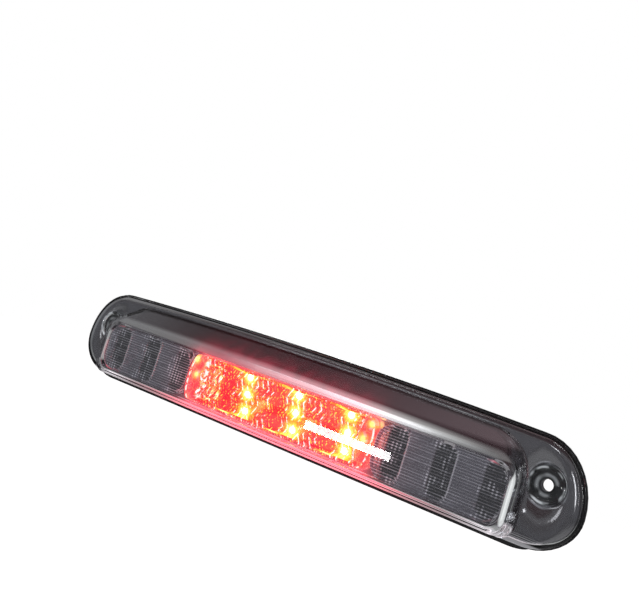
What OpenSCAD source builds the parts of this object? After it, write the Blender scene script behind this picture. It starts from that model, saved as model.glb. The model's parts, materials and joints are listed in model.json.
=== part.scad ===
// LED third brake light with a cargo lamp at each side, as fitted to the rear of a pickup cab.
// +X runs along the lamp, the lens faces -Y, +Z is up. The origin lies midway between the two
// screw holes, on the mounting face of the gasket.

/* [Outline] */
// Overall length over the mounting flange
lamp_length = 465; // [461:1:469]
// Height of the flange's top edge above the screw holes, at mid length
top_edge = 35.5; // [35:0.5:37]
// Depth of the flange's bottom edge below the screw holes
bottom_edge = 44.5; // [44:0.5:46]
// How much lower the crowned top edge is where its end corners start
crown = 3.6; // [3:0.2:4]
// Distance from the mounting face to the front of the lens
lens_front = 30; // [29.5:0.5:31]
// Wall of the clear outer lens
lens_wall = 2.5; // [2.3:0.1:2.6]

/* [Screw ears] */
// Distance between the two screw holes
hole_spacing = 411; // [409:1:412]
// Diameter of the screw holes
hole_d = 8; // [7:0.5:8]
// Diameter of the dished recess round each screw hole
recess_d = 22; // [20:0.5:22]

/* [Lamps] */
// Distance between the columns of brake light diodes
brake_pitch = 50; // [48:1:52]
// Distance between the oval cups of a cargo lamp
cargo_pitch = 36.5; // [36:0.5:37]
// Distance between the rows of diodes
row_pitch = 14.5; // [14:0.5:14.5]
// Height of the middle row of diodes, against the screw holes
row_middle = -15.5; // [-16:0.5:-15]
// Lean of the circuit boards, which lets the diodes point level on a slanted cab
board_lean = 12; // [10:1:13]
// Distance between the horizontal flutes of a cargo lens
flute_pitch = 2; // [1.8:0.1:2.4]
// Distance between the zigzag prisms of the brake lens
prism_pitch = 5.2; // [5:0.1:5.6]

/* [Rear] */
// Distance from the mounting face to the back of the housing
housing_depth = 26; // [26:1:30]
// Wall of the rear housing
housing_wall = 2; // [1.8:0.1:2.2]
// Depth of the connector socket behind the housing
socket_depth = 16; // [14:1:20]

/* [Hidden] */
$fn = 48;

half = lamp_length / 2;
hole_x = hole_spacing / 2;

// Heights above the mounting face, towards the front
gasket_t = 2;
flange_top = 4;
lens_foot = 4.5;
ear_top = 10;
dish = 2;                         // depth of the recess round a screw hole
cup_floor = ear_top - dish;
floor_back = 15.5;
floor_front = 17;
brake_lens_top = 19.5;
cargo_lens_top = 26;
cup_back = -12.5;
board_front = -17.4;
board_back = -19;
housing_inside = housing_wall - housing_depth;

edge = 1;                         // the lens stands back from the flange's edge
bezel_gap = 0.4;
bezel_wall = 1.4;
pan_top = 24;                     // front of the wall round the bezel's recessed floor
end_corner = [37.5, 45];          // radii of the upper end corners, along X and Z
foot_corner = [34, 30];           // radii of the lower end corners
rows = [for (k = [-1 : 1]) row_middle + k * row_pitch];
brake_columns = [for (k = [-1 : 1]) k * brake_pitch];
cargo_middle = 139.5;
cargo_columns = [for (k = [-1 : 1]) cargo_middle + k * cargo_pitch];
cargo_screw_x = [for (k = [-0.5, 0.5]) cargo_middle + k * cargo_pitch];
slot_w = 15;                      // width and height of a cargo lamp's oval cup
slot_h = 39.5;
slot_middle = row_middle + 0.75;
zigzag_middle = row_middle - 3.3; // height of the zigzags' middle corner
prism_start = 5.4;                // from a column of diodes to its first zigzag
prism_h = 0.8;                    // height, width and sideways sweep of the zigzag prisms
prism_w = 1.6;
zigzag_h = 3.8;
thin = 0.02;
over = 1;
post_r = 3;
led_r = 2.5;
led_hole_r = 3.1;
flute_r = 0.8;
ear_cup_r = recess_d / 2 + 1.4;
vent_r = 7;
socket_z = row_middle - 6.5;
pin_step = 5;
sleeve_r = 5.5;
sleeve_top = 4.7;

// Points of an elliptical quarter turn from angle a to a + 90
function turn(cx, cz, r, a, n = 10) =
    [for (i = [0 : n]) [cx + r[0] * cos(a + 90 * i / n), cz + r[1] * sin(a + 90 * i / n)]];

// Inner points of an arch from x = from to x = -from, rise higher in the middle than at its ends
function arch(from, z, rise, n = 14) =
    [for (i = [1 : n - 1]) let (u = 1 - 2 * i / n) [from * u, z + rise * (1 - u * u)]];

// Closed outline, counter-clockwise: ct and cb are the corner radii, rise and sag bow the long edges
function ring(xh, top, bottom, ct, cb, rise = 0, sag = 0) = concat(
    turn(xh - cb[0], bottom + sag + cb[1], cb, -90),
    turn(xh - ct[0], top - rise - ct[1], ct, 0),
    arch(xh - ct[0], top - rise, rise),
    turn(ct[0] - xh, top - rise - ct[1], ct, 90),
    turn(cb[0] - xh, bottom + sag + cb[1], cb, 180),
    arch(cb[0] - xh, bottom + sag, -sag));

function inner(r, d) = [r[0] - d, r[1] - d];

// Outline of the whole lamp, moved inwards by d, by low along its bottom edge and by side at its ends
function outline(d, low, side) = let (l = low == undef ? d : low, s = side == undef ? d : side)
    ring(half - s, top_edge - d, l - bottom_edge, end_corner - [s, d], foot_corner - [s, l], crown, 1);

// Turns flat drawings upright: their Y becomes height, their Z points out of the lens
module upright() { rotate([90, 0, 0]) children(); }

module plate(points, from, to) { translate([0, 0, from]) linear_extrude(to - from) polygon(points); }

// Leans the boards and what they carry back, about their middle row of diodes
module on_boards() {
    translate([0, row_middle, board_front]) rotate([board_lean, 0, 0]) translate([0, -row_middle, -board_front])
        children();
}

module at_ears() { for (s = [-1, 1]) translate([s * hole_x, 0, 0]) children(); }

module slot_shape(w, h) {
    square([w, h - w], center = true);
    for (s = [-1, 1]) translate([0, s * (h - w) / 2]) circle(d = w);
}

// Low domed body of the lens with its screw ears, d inside the outer skin
module dome(d, from) {
    hull() {
        plate(outline(edge + d), from, 6.2);
        plate(outline(edge + d + 1.1, edge + d + 0.3, edge + d + 2), 8.8 - d, 8.8 - d + thin);
        plate(outline(edge + d + 3.6, edge + d + 0.9, edge + d + 6.5), ear_top - d - thin, ear_top - d);
    }
}

// Raised lamp body between the ears: long sloping top, steep ends and bottom, nearly flat front
module bubble(d) {
    hull() {
        plate(ring(193.6 - d, 31.5 - d / 2, d - 42.6, [34, 34], [9, 9], 3.2), 7 - d, 7.4 - d);
        plate(ring(192 - d, 14 - d / 2, d - 40, [15, 15], [9, 9], 2.4), 26.4 - d * 0.8, 26.5 - d * 0.8);
        translate([0, 0, lens_front - d - thin])
            plate(ring(189.6 - d, 7 - d / 2, d - 38.4, [12, 12], [9, 9], 1), 0, thin);
    }
}

module skin(d, from) {
    dome(d, from);
    bubble(d);
}

module outer_lens() {
    color([0.86, 0.9, 0.93, 0.35]) upright() difference() {
        union() {
            difference() {
                skin(0, lens_foot);
                skin(lens_wall, lens_foot - over);
            }
            at_ears() translate([0, 0, sleeve_top]) cylinder(r = ear_cup_r, h = ear_top - 1 - sleeve_top);
        }
        at_ears() {
            translate([0, 0, cup_floor])
                cylinder(r1 = recess_d / 2 - dish, r2 = recess_d / 2 + over, h = dish + over);
            translate([0, 0, cup_floor - 0.8]) cylinder(r = recess_d / 2 - 4, h = dish);
            translate([0, 0, -over]) cylinder(d = hole_d, h = 20);
        }
    }
}

module lens_seal() {
    color("dimgray") upright() difference() {
        plate(outline(edge + 0.6), flange_top, lens_foot);
        plate(outline(edge + 2.2), flange_top - over, lens_foot + over);
    }
}

module tray(d, from, to) {
    plate(ring(191 - d, 14.5 - d, d - 40.5, inner([12, 12], d), inner([9, 9], d)), from, to);
}

module bezel_post_places() { for (s = [-1, 1], z = [1, -30.5]) translate([s * 91.7, z, 0]) children(); }

module vent_places() { for (s = [-1, 1]) translate([s * 139, -13, -housing_depth]) children(); }

module rear_housing() {
    color([0.09, 0.09, 0.1]) upright() difference() {
        union() {
            plate(outline(0), gasket_t, flange_top);
            plate(ring(206, -36, -46, [2, 2], [16, 5]), gasket_t, flange_top);
            tray(0, -housing_depth, gasket_t + over);
            for (s = [-1, 1], x = [32, 62, 114, 164])
                translate([s * x - 0.8, -36, -housing_depth - 2]) cube([1.6, 46, 2 + over]);
            vent_places() translate([0, 0, -1.5]) cylinder(r = vent_r + 1.5, h = 2);
        }
        difference() {
            tray(housing_wall, housing_inside, flange_top + over);
            bezel_post_places() translate([0, 0, housing_inside])
                cylinder(r = post_r + 1.5, h = board_back - housing_inside);
        }
        at_ears() cylinder(r = sleeve_r + 0.05, h = 10);
        bezel_post_places() translate([0, 0, -housing_depth - over]) cylinder(r = 1.8, h = 20);
        translate([-11, socket_z - 4, -housing_depth - over]) cube([22, 8, 10]);
        vent_places() translate([0, 0, -3]) {
            cylinder(r = vent_r, h = 3);
            cylinder(r = 2, h = 10);
        }
    }
}

module mounting_gasket() {
    color([0.05, 0.05, 0.05]) upright() difference() {
        plate(outline(2), 0, gasket_t);
        tray(-0.6, -over, gasket_t + over);
        at_ears() translate([0, 0, -over]) cylinder(r = sleeve_r + 0.1, h = 10);
    }
}

module compression_sleeves() {
    color("silver") upright() at_ears() difference() {
        cylinder(r = sleeve_r, h = sleeve_top);
        translate([0, 0, -over]) cylinder(d = hole_d, h = 10);
    }
}

// Outline of the bezel's recessed floor, grown by g
function pan(g) = ring(187.8 + g, 6 + g, -36 - g, inner([11, 11], -g), inner([8, 8], -g));

// Outline of the opening for the brake light, grown by g
function brake_window(g) = ring(86 + g, 4 + g, -33.5 - g, inner([5, 5], -g), inner([5, 5], -g));

// The three upright oval openings of the cargo lamp on side s, w wide
module cargo_slots(s, w, from, to) {
    for (x = cargo_columns) translate([s * x, slot_middle, from])
        linear_extrude(to - from) slot_shape(w, slot_h + w - slot_w);
}

module chrome_bezel() {
    color([0.72, 0.73, 0.76]) upright() difference() {
        union() {
            difference() {
                skin(lens_wall + bezel_gap, lens_foot + 0.2);
                skin(lens_wall + bezel_gap + bezel_wall, lens_foot - over);
            }
            difference() {
                plate(pan(1), floor_back, pan_top);
                plate(pan(0), floor_front, pan_top + over);
            }
            bezel_post_places() translate([0, 0, board_back])
                cylinder(r = post_r, h = floor_back - board_back);
        }
        plate(pan(0), floor_front, lens_front);
        plate(brake_window(0), floor_back - over, floor_front + over);
        cargo_slots(s = 1, w = slot_w, from = floor_back - over, to = floor_front + over);
        cargo_slots(s = -1, w = slot_w, from = floor_back - over, to = floor_front + over);
        at_ears() cylinder(r = ear_cup_r + 0.3, h = 20);
        bezel_post_places() translate([0, 0, board_back - over]) cylinder(r = 1.55, h = 13);
    }
}

// One zigzag prism, u away from its column near the height of each diode and further out between rows
module zigzag(u) {
    points = [for (k = [-2 : 3]) [u + (k % 2 == 0 ? 0 : zigzag_h), zigzag_middle + k * row_pitch / 2]];
    back = [for (k = [3 : -1 : -2]) points[k + 2] + [prism_w, 0]];
    polygon(concat(points, back));
}

module brake_inner_lens() {
    color([1, 0.25, 0.3, 0.6]) upright() {
        plate(brake_window(1.2), floor_front, brake_lens_top - prism_h);
        translate([0, 0, brake_lens_top - prism_h - thin]) linear_extrude(prism_h + thin)
            for (c = brake_columns, s = [-1, 1], u = [prism_start : prism_pitch : (c * s > 0 ? 23 : 17.6)])
                translate([c, 0]) scale([s, 1]) zigzag(u);
    }
}

function cargo_ring(d) = ring(48.8 - d, 5 - d, d - 35, inner([11, 11], d), inner([11, 11], d));

// Half length of a flute at height z, inside the round corners
function flute_half(z) = let (past = max(abs(z + 15) - 9, 0)) 37.4 + sqrt(121 - past * past);

module cargo_lens(s) {
    color([0.8, 0.86, 0.92, 0.5]) upright() translate([s * 138.3, 0, 0]) {
        difference() {
            plate(cargo_ring(0), floor_front, cargo_lens_top - flute_r);
            plate(cargo_ring(1.5), floor_front - over, cargo_lens_top - flute_r - 1.8);
        }
        for (z = [-33 : flute_pitch : 3.1])
            translate([-flute_half(z), z, cargo_lens_top - flute_r])
                rotate([0, 90, 0]) cylinder(r = flute_r, h = 2 * flute_half(z), $fn = 20);
    }
}

module cargo_lens_left() { cargo_lens(-1); }
module cargo_lens_right() { cargo_lens(1); }

module brake_reflector() {
    color([0.78, 0.78, 0.8]) upright() difference() {
        union() {
            hull() {
                plate(brake_window(1.6), floor_back - 0.1, floor_back);
                on_boards() plate(ring(77.6, 4.6, -35.6, [6, 6], [6, 6]), cup_back, cup_back + 0.1);
            }
            on_boards() brake_screw_places() translate([0, 0, board_front])
                cylinder(r = post_r, h = cup_back - board_front + 0.05);
        }
        hull() {
            plate(brake_window(0), floor_back, floor_back + over);
            on_boards() plate(ring(76, 3, -34, [5, 5], [5, 5]), cup_back + 1.5, cup_back + 1.6);
        }
        on_boards() {
            for (x = brake_columns, z = rows) translate([x, z, cup_back - over]) cylinder(r = led_hole_r, h = 5);
            brake_screw_places() translate([0, 0, board_front - over]) cylinder(r = 1.25, h = 5.4);
        }
    }
}

module brake_screw_places() { for (s = [-25, 25], z = [-4, -27]) translate([s, z, 0]) children(); }

module cargo_screw_places(s) { for (x = cargo_screw_x) translate([s * x, row_middle, 0]) children(); }

// The cups of the cargo lamp on side s, w wide, from their leaning back to their front
module cargo_cups(s, w, from, to) {
    for (x = cargo_columns) hull() {
        translate([s * x, slot_middle, to - thin]) linear_extrude(thin) slot_shape(w, slot_h + w - slot_w);
        on_boards() translate([s * x, slot_middle, from])
            linear_extrude(thin) slot_shape(w, slot_h + w - slot_w);
    }
}

module cargo_reflector(s) {
    plate_back = floor_back - 2;
    color([0.6, 0.61, 0.64]) upright() difference() {
        union() {
            translate([s * 141.6, 0, 0])
                plate(ring(46.2, 6.4, -35.8, [5, 5], [5, 5]), plate_back, floor_back);
            cargo_cups(s, slot_w + 2.4, cup_back, plate_back + 0.5);
            on_boards() cargo_screw_places(s) translate([0, 0, board_front])
                cylinder(r = post_r, h = plate_back + 1.2 - board_front);
        }
        cargo_cups(s, slot_w, cup_back + 1.5, floor_back + over);
        on_boards() {
            for (x = cargo_columns, z = rows) translate([s * x, z, cup_back - over])
                cylinder(r = led_hole_r, h = 5);
            cargo_screw_places(s) translate([0, 0, board_front - over]) cylinder(r = 1.25, h = 7);
        }
    }
}

module cargo_reflector_left() { cargo_reflector(-1); }
module cargo_reflector_right() { cargo_reflector(1); }

// A 5 mm diode standing on the board
module led() {
    cylinder(r = 2.9, h = 1);
    cylinder(r = led_r, h = 6.1);
    translate([0, 0, 6.1]) sphere(r = led_r, $fn = 32);
}

module led_field(columns, s) {
    on_boards() for (x = columns, z = rows) translate([s * x, z, board_front]) led();
}

module brake_leds() { color([1, 0.35, 0.2]) upright() led_field(brake_columns, 1); }
module cargo_leds_left() { color([0.95, 0.95, 0.85]) upright() led_field(cargo_columns, -1); }
module cargo_leds_right() { color([0.95, 0.95, 0.85]) upright() led_field(cargo_columns, 1); }

module brake_circuit_board() {
    color([0.1, 0.4, 0.2]) upright() difference() {
        on_boards() difference() {
            plate(ring(78.5, 4, -35, [2, 2], [2, 2]), board_back, board_front);
            brake_screw_places() translate([0, 0, -30]) cylinder(r = 1.6, h = 20);
        }
        pin_places() translate([0, 0, -30]) cylinder(r = 0.8, h = 20);
    }
}

module cargo_board(s) {
    color([0.1, 0.4, 0.2]) upright() on_boards() difference() {
        translate([s * 141.3, 0, 0])
            plate(ring(44.5, 4, -35, [2, 2], [2, 2]), board_back, board_front);
        cargo_screw_places(s) translate([0, 0, -30]) cylinder(r = 1.6, h = 20);
    }
}

module cargo_board_left() { cargo_board(-1); }
module cargo_board_right() { cargo_board(1); }

// A wound resistor lying along the board, seated by its two end caps
module resistor() {
    translate([-3.2, 0, 1.3]) rotate([0, 90, 0]) cylinder(r = 1.1, h = 6.4);
    for (x = [-3.2, 2]) translate([x, 0, 1.3]) rotate([0, 90, 0]) cylinder(r = 1.3, h = 1.2);
}

module on_board_back(x, z) { on_boards() translate([x, z, board_back]) rotate([180, 0, 0]) children(); }

module brake_resistors() {
    color("tan") upright() for (x = brake_columns) on_board_back(x + 9, row_middle + 6) resistor();
}

module cargo_resistors() {
    color("tan") upright() for (s = [-1, 1], x = cargo_columns)
        on_board_back(s * x, row_middle + 12) resistor();
}

module voltage_regulator() {
    color([0.08, 0.08, 0.08]) upright() on_board_back(-40, row_middle - 4) {
        translate([-3.3, -3, 0]) cube([6.6, 6, 2.3]);
        translate([-2.7, 3, 0]) cube([5.4, 1.5, 0.6]);
        for (x = [-2.2, 0, 2.2]) translate([x - 0.35, -4.6, 0]) cube([0.7, 1.6, 0.6]);
    }
}

module protection_diode() {
    color([0.12, 0.12, 0.12]) upright() on_board_back(14, row_middle - 5) {
        translate([-2.6, -1.8, 0.3]) cube([5.2, 3.6, 2.2]);
        for (s = [-1, 1]) translate([s * 2.9 - 0.6, -1, 0]) cube([1.2, 2, 0.3]);
    }
}

module filter_capacitor() {
    color([0.35, 0.36, 0.4]) upright() on_board_back(40, row_middle + 1) {
        translate([-2.8, -2.8, 0]) cube([5.6, 5.6, 0.6]);
        translate([0, 0, 0.6]) cylinder(r = 2.5, h = 3.6);
    }
}

module board_jumpers() {
    color("orangered") upright() for (s = [-1, 1], z = [-11, -20]) on_board_back(s * 87.5, z) {
        translate([-14, 0, 0.9]) rotate([0, 90, 0]) cylinder(r = 0.6, h = 28);
        for (x = [-14, 14]) translate([x, 0, 0]) cylinder(r = 1.2, h = 1.6);
    }
}

module board_screw() {
    translate([0, 0, board_back - 1.7]) cylinder(r = 2.7, h = 1.7);
    translate([0, 0, board_back - 0.5]) cylinder(r = 1.2, h = 5.6);
}

module board_screws() {
    color("silver") upright() on_boards() {
        brake_screw_places() board_screw();
        for (s = [-1, 1]) cargo_screw_places(s) board_screw();
    }
}

module housing_screws() {
    color("silver") upright() bezel_post_places() difference() {
        union() {
            translate([0, 0, -housing_depth - 2.2]) cylinder(r = 3.4, h = 2.2);
            translate([0, 0, -housing_depth - 0.5]) cylinder(r = 1.5, h = 18);
        }
        for (a = [0, 90]) rotate([0, 0, a]) translate([-2, -0.35, -housing_depth - 3]) cube([4, 0.7, 2]);
    }
}

module pin_places() { for (k = [-1.5 : 1.5]) translate([k * pin_step, socket_z, 0]) children(); }

module connector_socket() {
    base = -housing_depth - 1;
    color([0.13, 0.13, 0.14]) upright() translate([0, socket_z, 0]) difference() {
        union() {
            translate([-17, -10, base - 2]) cube([34, 20, 2]);
            translate([-14, -8, base - socket_depth]) cube([28, 16, socket_depth]);
            translate([-4, 8 - thin, base - socket_depth + 2]) rotate([0, 90, 0])
                linear_extrude(8) polygon([[0, 0], [0, 2], [-6, 0]]);
            for (x = [-9, 9]) translate([x - 0.8, 7.9, base - socket_depth])
                cube([1.6, 1.4, socket_depth - 1]);
        }
        translate([-12.2, -6.2, base - socket_depth - over]) cube([24.4, 12.4, socket_depth - 2 + over]);
        for (k = [-1.5 : 1.5]) translate([k * pin_step - 0.6, -0.45, base - 3]) cube([1.2, 0.9, 4]);
    }
}

module connector_pins() {
    color([0.8, 0.62, 0.25]) upright() pin_places() {
        translate([-0.55, -0.4, -37]) cube([1.1, 0.8, 37 - 17.8]);
    }
}

module connector_seal() {
    color("chocolate") upright() translate([0, socket_z, -housing_depth - 1]) difference() {
        translate([-15.5, -8.5, 0]) cube([31, 17, 1]);
        translate([-11.5, -5, -over]) cube([23, 10, 1 + 2 * over]);
    }
}

module breather_membranes() {
    color("whitesmoke") upright() vent_places() translate([0, 0, -0.4]) cylinder(r = vent_r - 0.4, h = 0.4);
}

outer_lens();
lens_seal();
rear_housing();
mounting_gasket();
compression_sleeves();
chrome_bezel();
brake_inner_lens();
cargo_lens_left();
cargo_lens_right();
brake_reflector();
cargo_reflector_left();
cargo_reflector_right();
brake_leds();
cargo_leds_left();
cargo_leds_right();
brake_circuit_board();
cargo_board_left();
cargo_board_right();
brake_resistors();
cargo_resistors();
voltage_regulator();
protection_diode();
filter_capacitor();
board_jumpers();
board_screws();
housing_screws();
connector_socket();
connector_pins();
connector_seal();
breather_membranes();
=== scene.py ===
"""LED third brake light: clear lens, metallised bezel, lit centre lamp and a fluted cargo lamp at each side.

Shapes are drawn in the lamp's own upright view: x along the lamp, height, and w, the distance in front
of the mounting face, all in millimetres. place() turns that into the frame, where the lens faces -Y.
"""

import functools
import json
import math

import bmesh
import bpy
from mathutils import Matrix, Vector

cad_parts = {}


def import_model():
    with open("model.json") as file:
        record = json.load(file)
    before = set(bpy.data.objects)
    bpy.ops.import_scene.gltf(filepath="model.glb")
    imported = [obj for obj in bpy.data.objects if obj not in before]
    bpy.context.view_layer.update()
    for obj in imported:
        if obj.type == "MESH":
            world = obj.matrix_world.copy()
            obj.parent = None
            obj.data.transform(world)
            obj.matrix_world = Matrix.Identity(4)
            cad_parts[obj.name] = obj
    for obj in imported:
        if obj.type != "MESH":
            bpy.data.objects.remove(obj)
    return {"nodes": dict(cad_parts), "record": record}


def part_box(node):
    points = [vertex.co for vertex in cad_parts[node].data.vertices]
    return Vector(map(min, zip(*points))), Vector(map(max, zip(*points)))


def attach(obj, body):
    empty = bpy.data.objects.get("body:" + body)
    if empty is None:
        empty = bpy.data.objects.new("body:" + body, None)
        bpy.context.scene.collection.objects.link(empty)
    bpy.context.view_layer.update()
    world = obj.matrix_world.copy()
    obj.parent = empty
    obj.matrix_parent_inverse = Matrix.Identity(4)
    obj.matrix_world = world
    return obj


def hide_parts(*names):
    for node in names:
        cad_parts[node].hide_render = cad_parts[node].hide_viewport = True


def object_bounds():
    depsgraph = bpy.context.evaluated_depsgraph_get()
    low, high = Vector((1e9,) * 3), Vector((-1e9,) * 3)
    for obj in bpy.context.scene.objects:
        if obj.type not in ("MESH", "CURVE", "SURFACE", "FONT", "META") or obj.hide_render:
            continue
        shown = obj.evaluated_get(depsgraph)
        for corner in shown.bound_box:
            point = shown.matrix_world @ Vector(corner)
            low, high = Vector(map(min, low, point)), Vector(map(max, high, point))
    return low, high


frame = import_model()
cad_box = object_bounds()

MM = 0.001

# The lamp's driving sizes
HALF = cad_box[1][0] / MM
SLEEVE_R = 5.5
HOLE_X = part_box("compression_sleeves")[1][0] / MM - SLEEVE_R
LENS_FRONT = -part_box("outer_lens")[0][1] / MM
LENS_FOOT = 4.5     # the lens's edge on its seal
LENS_BACK = 4.75    # its back round a screw hole
PLATEAU = 10.0      # the flat of the screw ears
LENS_WALL = 2.5
BEZEL_INSET = 2.9
METAL_WALL = 0.8
EDGE = 1.0
PAN_FLOOR = 17.0    # the bezel's recessed floor, its rim and its back
PAN_RIM = 26.2
FLOOR_BACK = 15.5
LENS_GAP = 0.02     # between that floor and the inner lenses
LENS_OVERLAP = 1.2  # of the brake lens past its window
CUP_FLOOR = -11.0
ROW_MIDDLE, ROW_PITCH = -15.5, 14.5
BOARD_FRONT, BOARD_LEAN = -17.4, math.radians(12)
BRAKE_PITCH = 50.0
# Where painted reflections of the diodes show on the plain ends of the brake lens, as (x, height)
PAINTED_DIODE_REFLECTIONS = ((-83.8, -0.6), (-80.2, -12.2), (83.8, -0.6), (80.2, -12.2))
PRISM_PITCH, PRISM_WIDTH, PRISM_START, PRISM_HEIGHT, ZIGZAG = 5.2, 1.6, 3.6, 0.8, 3.8
ZIGZAG_MIDDLE = ROW_MIDDLE - 3.3
PRISM_END = 72.0
BRAKE_TOP, BRAKE_BOTTOM = 4.0, -33.5
# The arc where a plain end of the brake lens starts: its x half way up, and how far it bows out over its span
ARC_X, ARC_BOW, ARC_SPAN = 73.4, 3.6, 19.0
END_HEIGHT = 5.6
CARGO_MIDDLE, CARGO_PITCH = 139.5, 36.5
CARGO_LENS_X, FLUTE_PITCH = 138.3, 2.0
SLOT_W, SLOT_H, SLOT_MIDDLE = 15.0, 39.5, ROW_MIDDLE + 0.75
RECESS_R = 11.0
HOLE_R = 4.0
LENS_CUP_R = 12.4   # the recess's wall inside the lens


# ---------------------------------------------------------------- shapes

def place(x, up, w):
    return Vector((x * MM, -w * MM, up * MM))


class Ring:
    """A closed outline: corner radii along X and Z at the top and the bottom, rise bows the top edge."""

    def __init__(self, xh, top, bottom, top_r, foot_r, rise=0.0, sag=0.0):
        self.sizes = [xh, top, bottom, *top_r, *foot_r, rise, sag]

    def mixed(self, other, t):
        """The outline a share t of the way to another."""
        ring = Ring(0, 0, 0, (0, 0), (0, 0))
        ring.sizes = [a + (b - a) * t for a, b in zip(self.sizes, other.sizes)]
        return ring

    def grown(self, side, top, bottom):
        """The outline moved outwards, with its corner radii kept in step."""
        xh, top_z, bottom_z, tx, tz, fx, fz, rise, sag = self.sizes
        return Ring(xh + side, top_z + top, bottom_z - bottom, (tx + side, tz + top),
                    (fx + side, fz + bottom), rise, sag)

    def points(self, turn=20, arch=36):
        """Points of the outline, counter-clockwise from the bottom right corner."""
        xh, top, bottom, tx, tz, fx, fz, rise, sag = self.sizes

        def corner(cx, cz, rx, rz, start):
            for i in range(turn + 1):
                a = math.radians(start + 90 * i / turn)
                yield (cx + rx * math.cos(a), cz + rz * math.sin(a))

        def bow(start, z, height):
            for i in range(1, arch):
                u = 1 - 2 * i / arch
                yield (start * u, z + height * (1 - u * u))

        foot, shoulder = bottom + sag, top - rise
        return [*corner(xh - fx, foot + fz, fx, fz, -90), *corner(xh - tx, shoulder - tz, tx, tz, 0),
                *bow(xh - tx, shoulder, rise), *corner(tx - xh, shoulder - tz, tx, tz, 90),
                *corner(fx - xh, foot + fz, fx, fz, 180), *bow(fx - xh, foot, -sag)]


def outline(inset, low=None, side=None):
    """Outline of the whole lamp, moved inwards, by low along its bottom edge and by side at its ends."""
    low = inset if low is None else low
    side = inset if side is None else side
    return Ring(HALF - side, 35.5 - inset, low - 44.5,
                (37.5 - side, 45 - inset), (34 - side, 30 - low), 3.6, 1)


# Outlines of the body's outer skin at the plateau, at its ridge and at its front, d further in

def bubble_foot(d):
    return Ring(193.6 - d, 31.5 - d / 2, d - 42.6, (34, 34), (9, 9), 3.2)


def bubble_ridge(d):
    return Ring(192 - d, 14 - d / 2, d - 40, (15, 15), (9, 9), 2.4)


def bubble_front(d):
    return Ring(189.6 - d, 7 - d / 2, d - 38.4, (12, 12), (9, 9), 1)


def pan(g):
    """Outline of the bezel's recessed floor, grown by g."""
    return Ring(187.8 + g, 6 + g, -36 - g, (11 + g, 11 + g), (8 + g, 8 + g))


def brake_window(g):
    """Outline of the brake light's window, grown by g."""
    return Ring(87.4 + g, BRAKE_TOP + g, BRAKE_BOTTOM - g, (7 + g, 15 + g), (7 + g, 15 + g))


def cargo_outline():
    """Outline of a cargo lens, with x counted from the lens's own middle."""
    return Ring(48.8, 5, -35, (13.5, 13.5), (13.5, 13.5))


def oval(width, height, count=48):
    """An upright slot with round ends."""
    r = width / 2
    straight = (height - width) / 2
    points = []
    for i in range(count):
        a = 2 * math.pi * (i + 0.5) / count
        points.append((r * math.cos(a), r * math.sin(a) + math.copysign(straight, math.sin(a))))
    return points


def cup_outline(g):
    """Opening of a cargo lamp's cup, grown by g."""
    return oval(SLOT_W + 2 * g, SLOT_H + 2 * g)


def cup_places(side):
    return [side * (CARGO_MIDDLE + k * CARGO_PITCH) for k in (-1, 0, 1)]


def circle(r, count=72):
    return [(r * math.cos(a), r * math.sin(a)) for a in (2 * math.pi * i / count for i in range(count))]


def leaned(x, z, w):
    """Where a point of the leaning boards' own frame stands on the lamp, as (x, height, w)."""
    up, out = z - ROW_MIDDLE, w - BOARD_FRONT
    sin, cos = math.sin(BOARD_LEAN), math.cos(BOARD_LEAN)
    return (x, ROW_MIDDLE + up * cos - out * sin, BOARD_FRONT + up * sin + out * cos)


def moved(points, dx=0.0, dz=0.0):
    return [(x + dx, z + dz) for x, z in points]


def bend(a, b, c, steps):
    """Stages on a smooth curve from a to c that is pulled towards b; each stage is (Ring, w)."""
    out = []
    for i in range(steps + 1):
        t = i / steps
        ab = a[0].mixed(b[0], t)
        bc = b[0].mixed(c[0], t)
        w = (1 - t) ** 2 * a[1] + 2 * t * (1 - t) * b[1] + t * t * c[1]
        out.append((ab.mixed(bc, t), w))
    return out


def between(a, b, t):
    return (a[0].mixed(b[0], t), a[1] + (b[1] - a[1]) * t)


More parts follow.
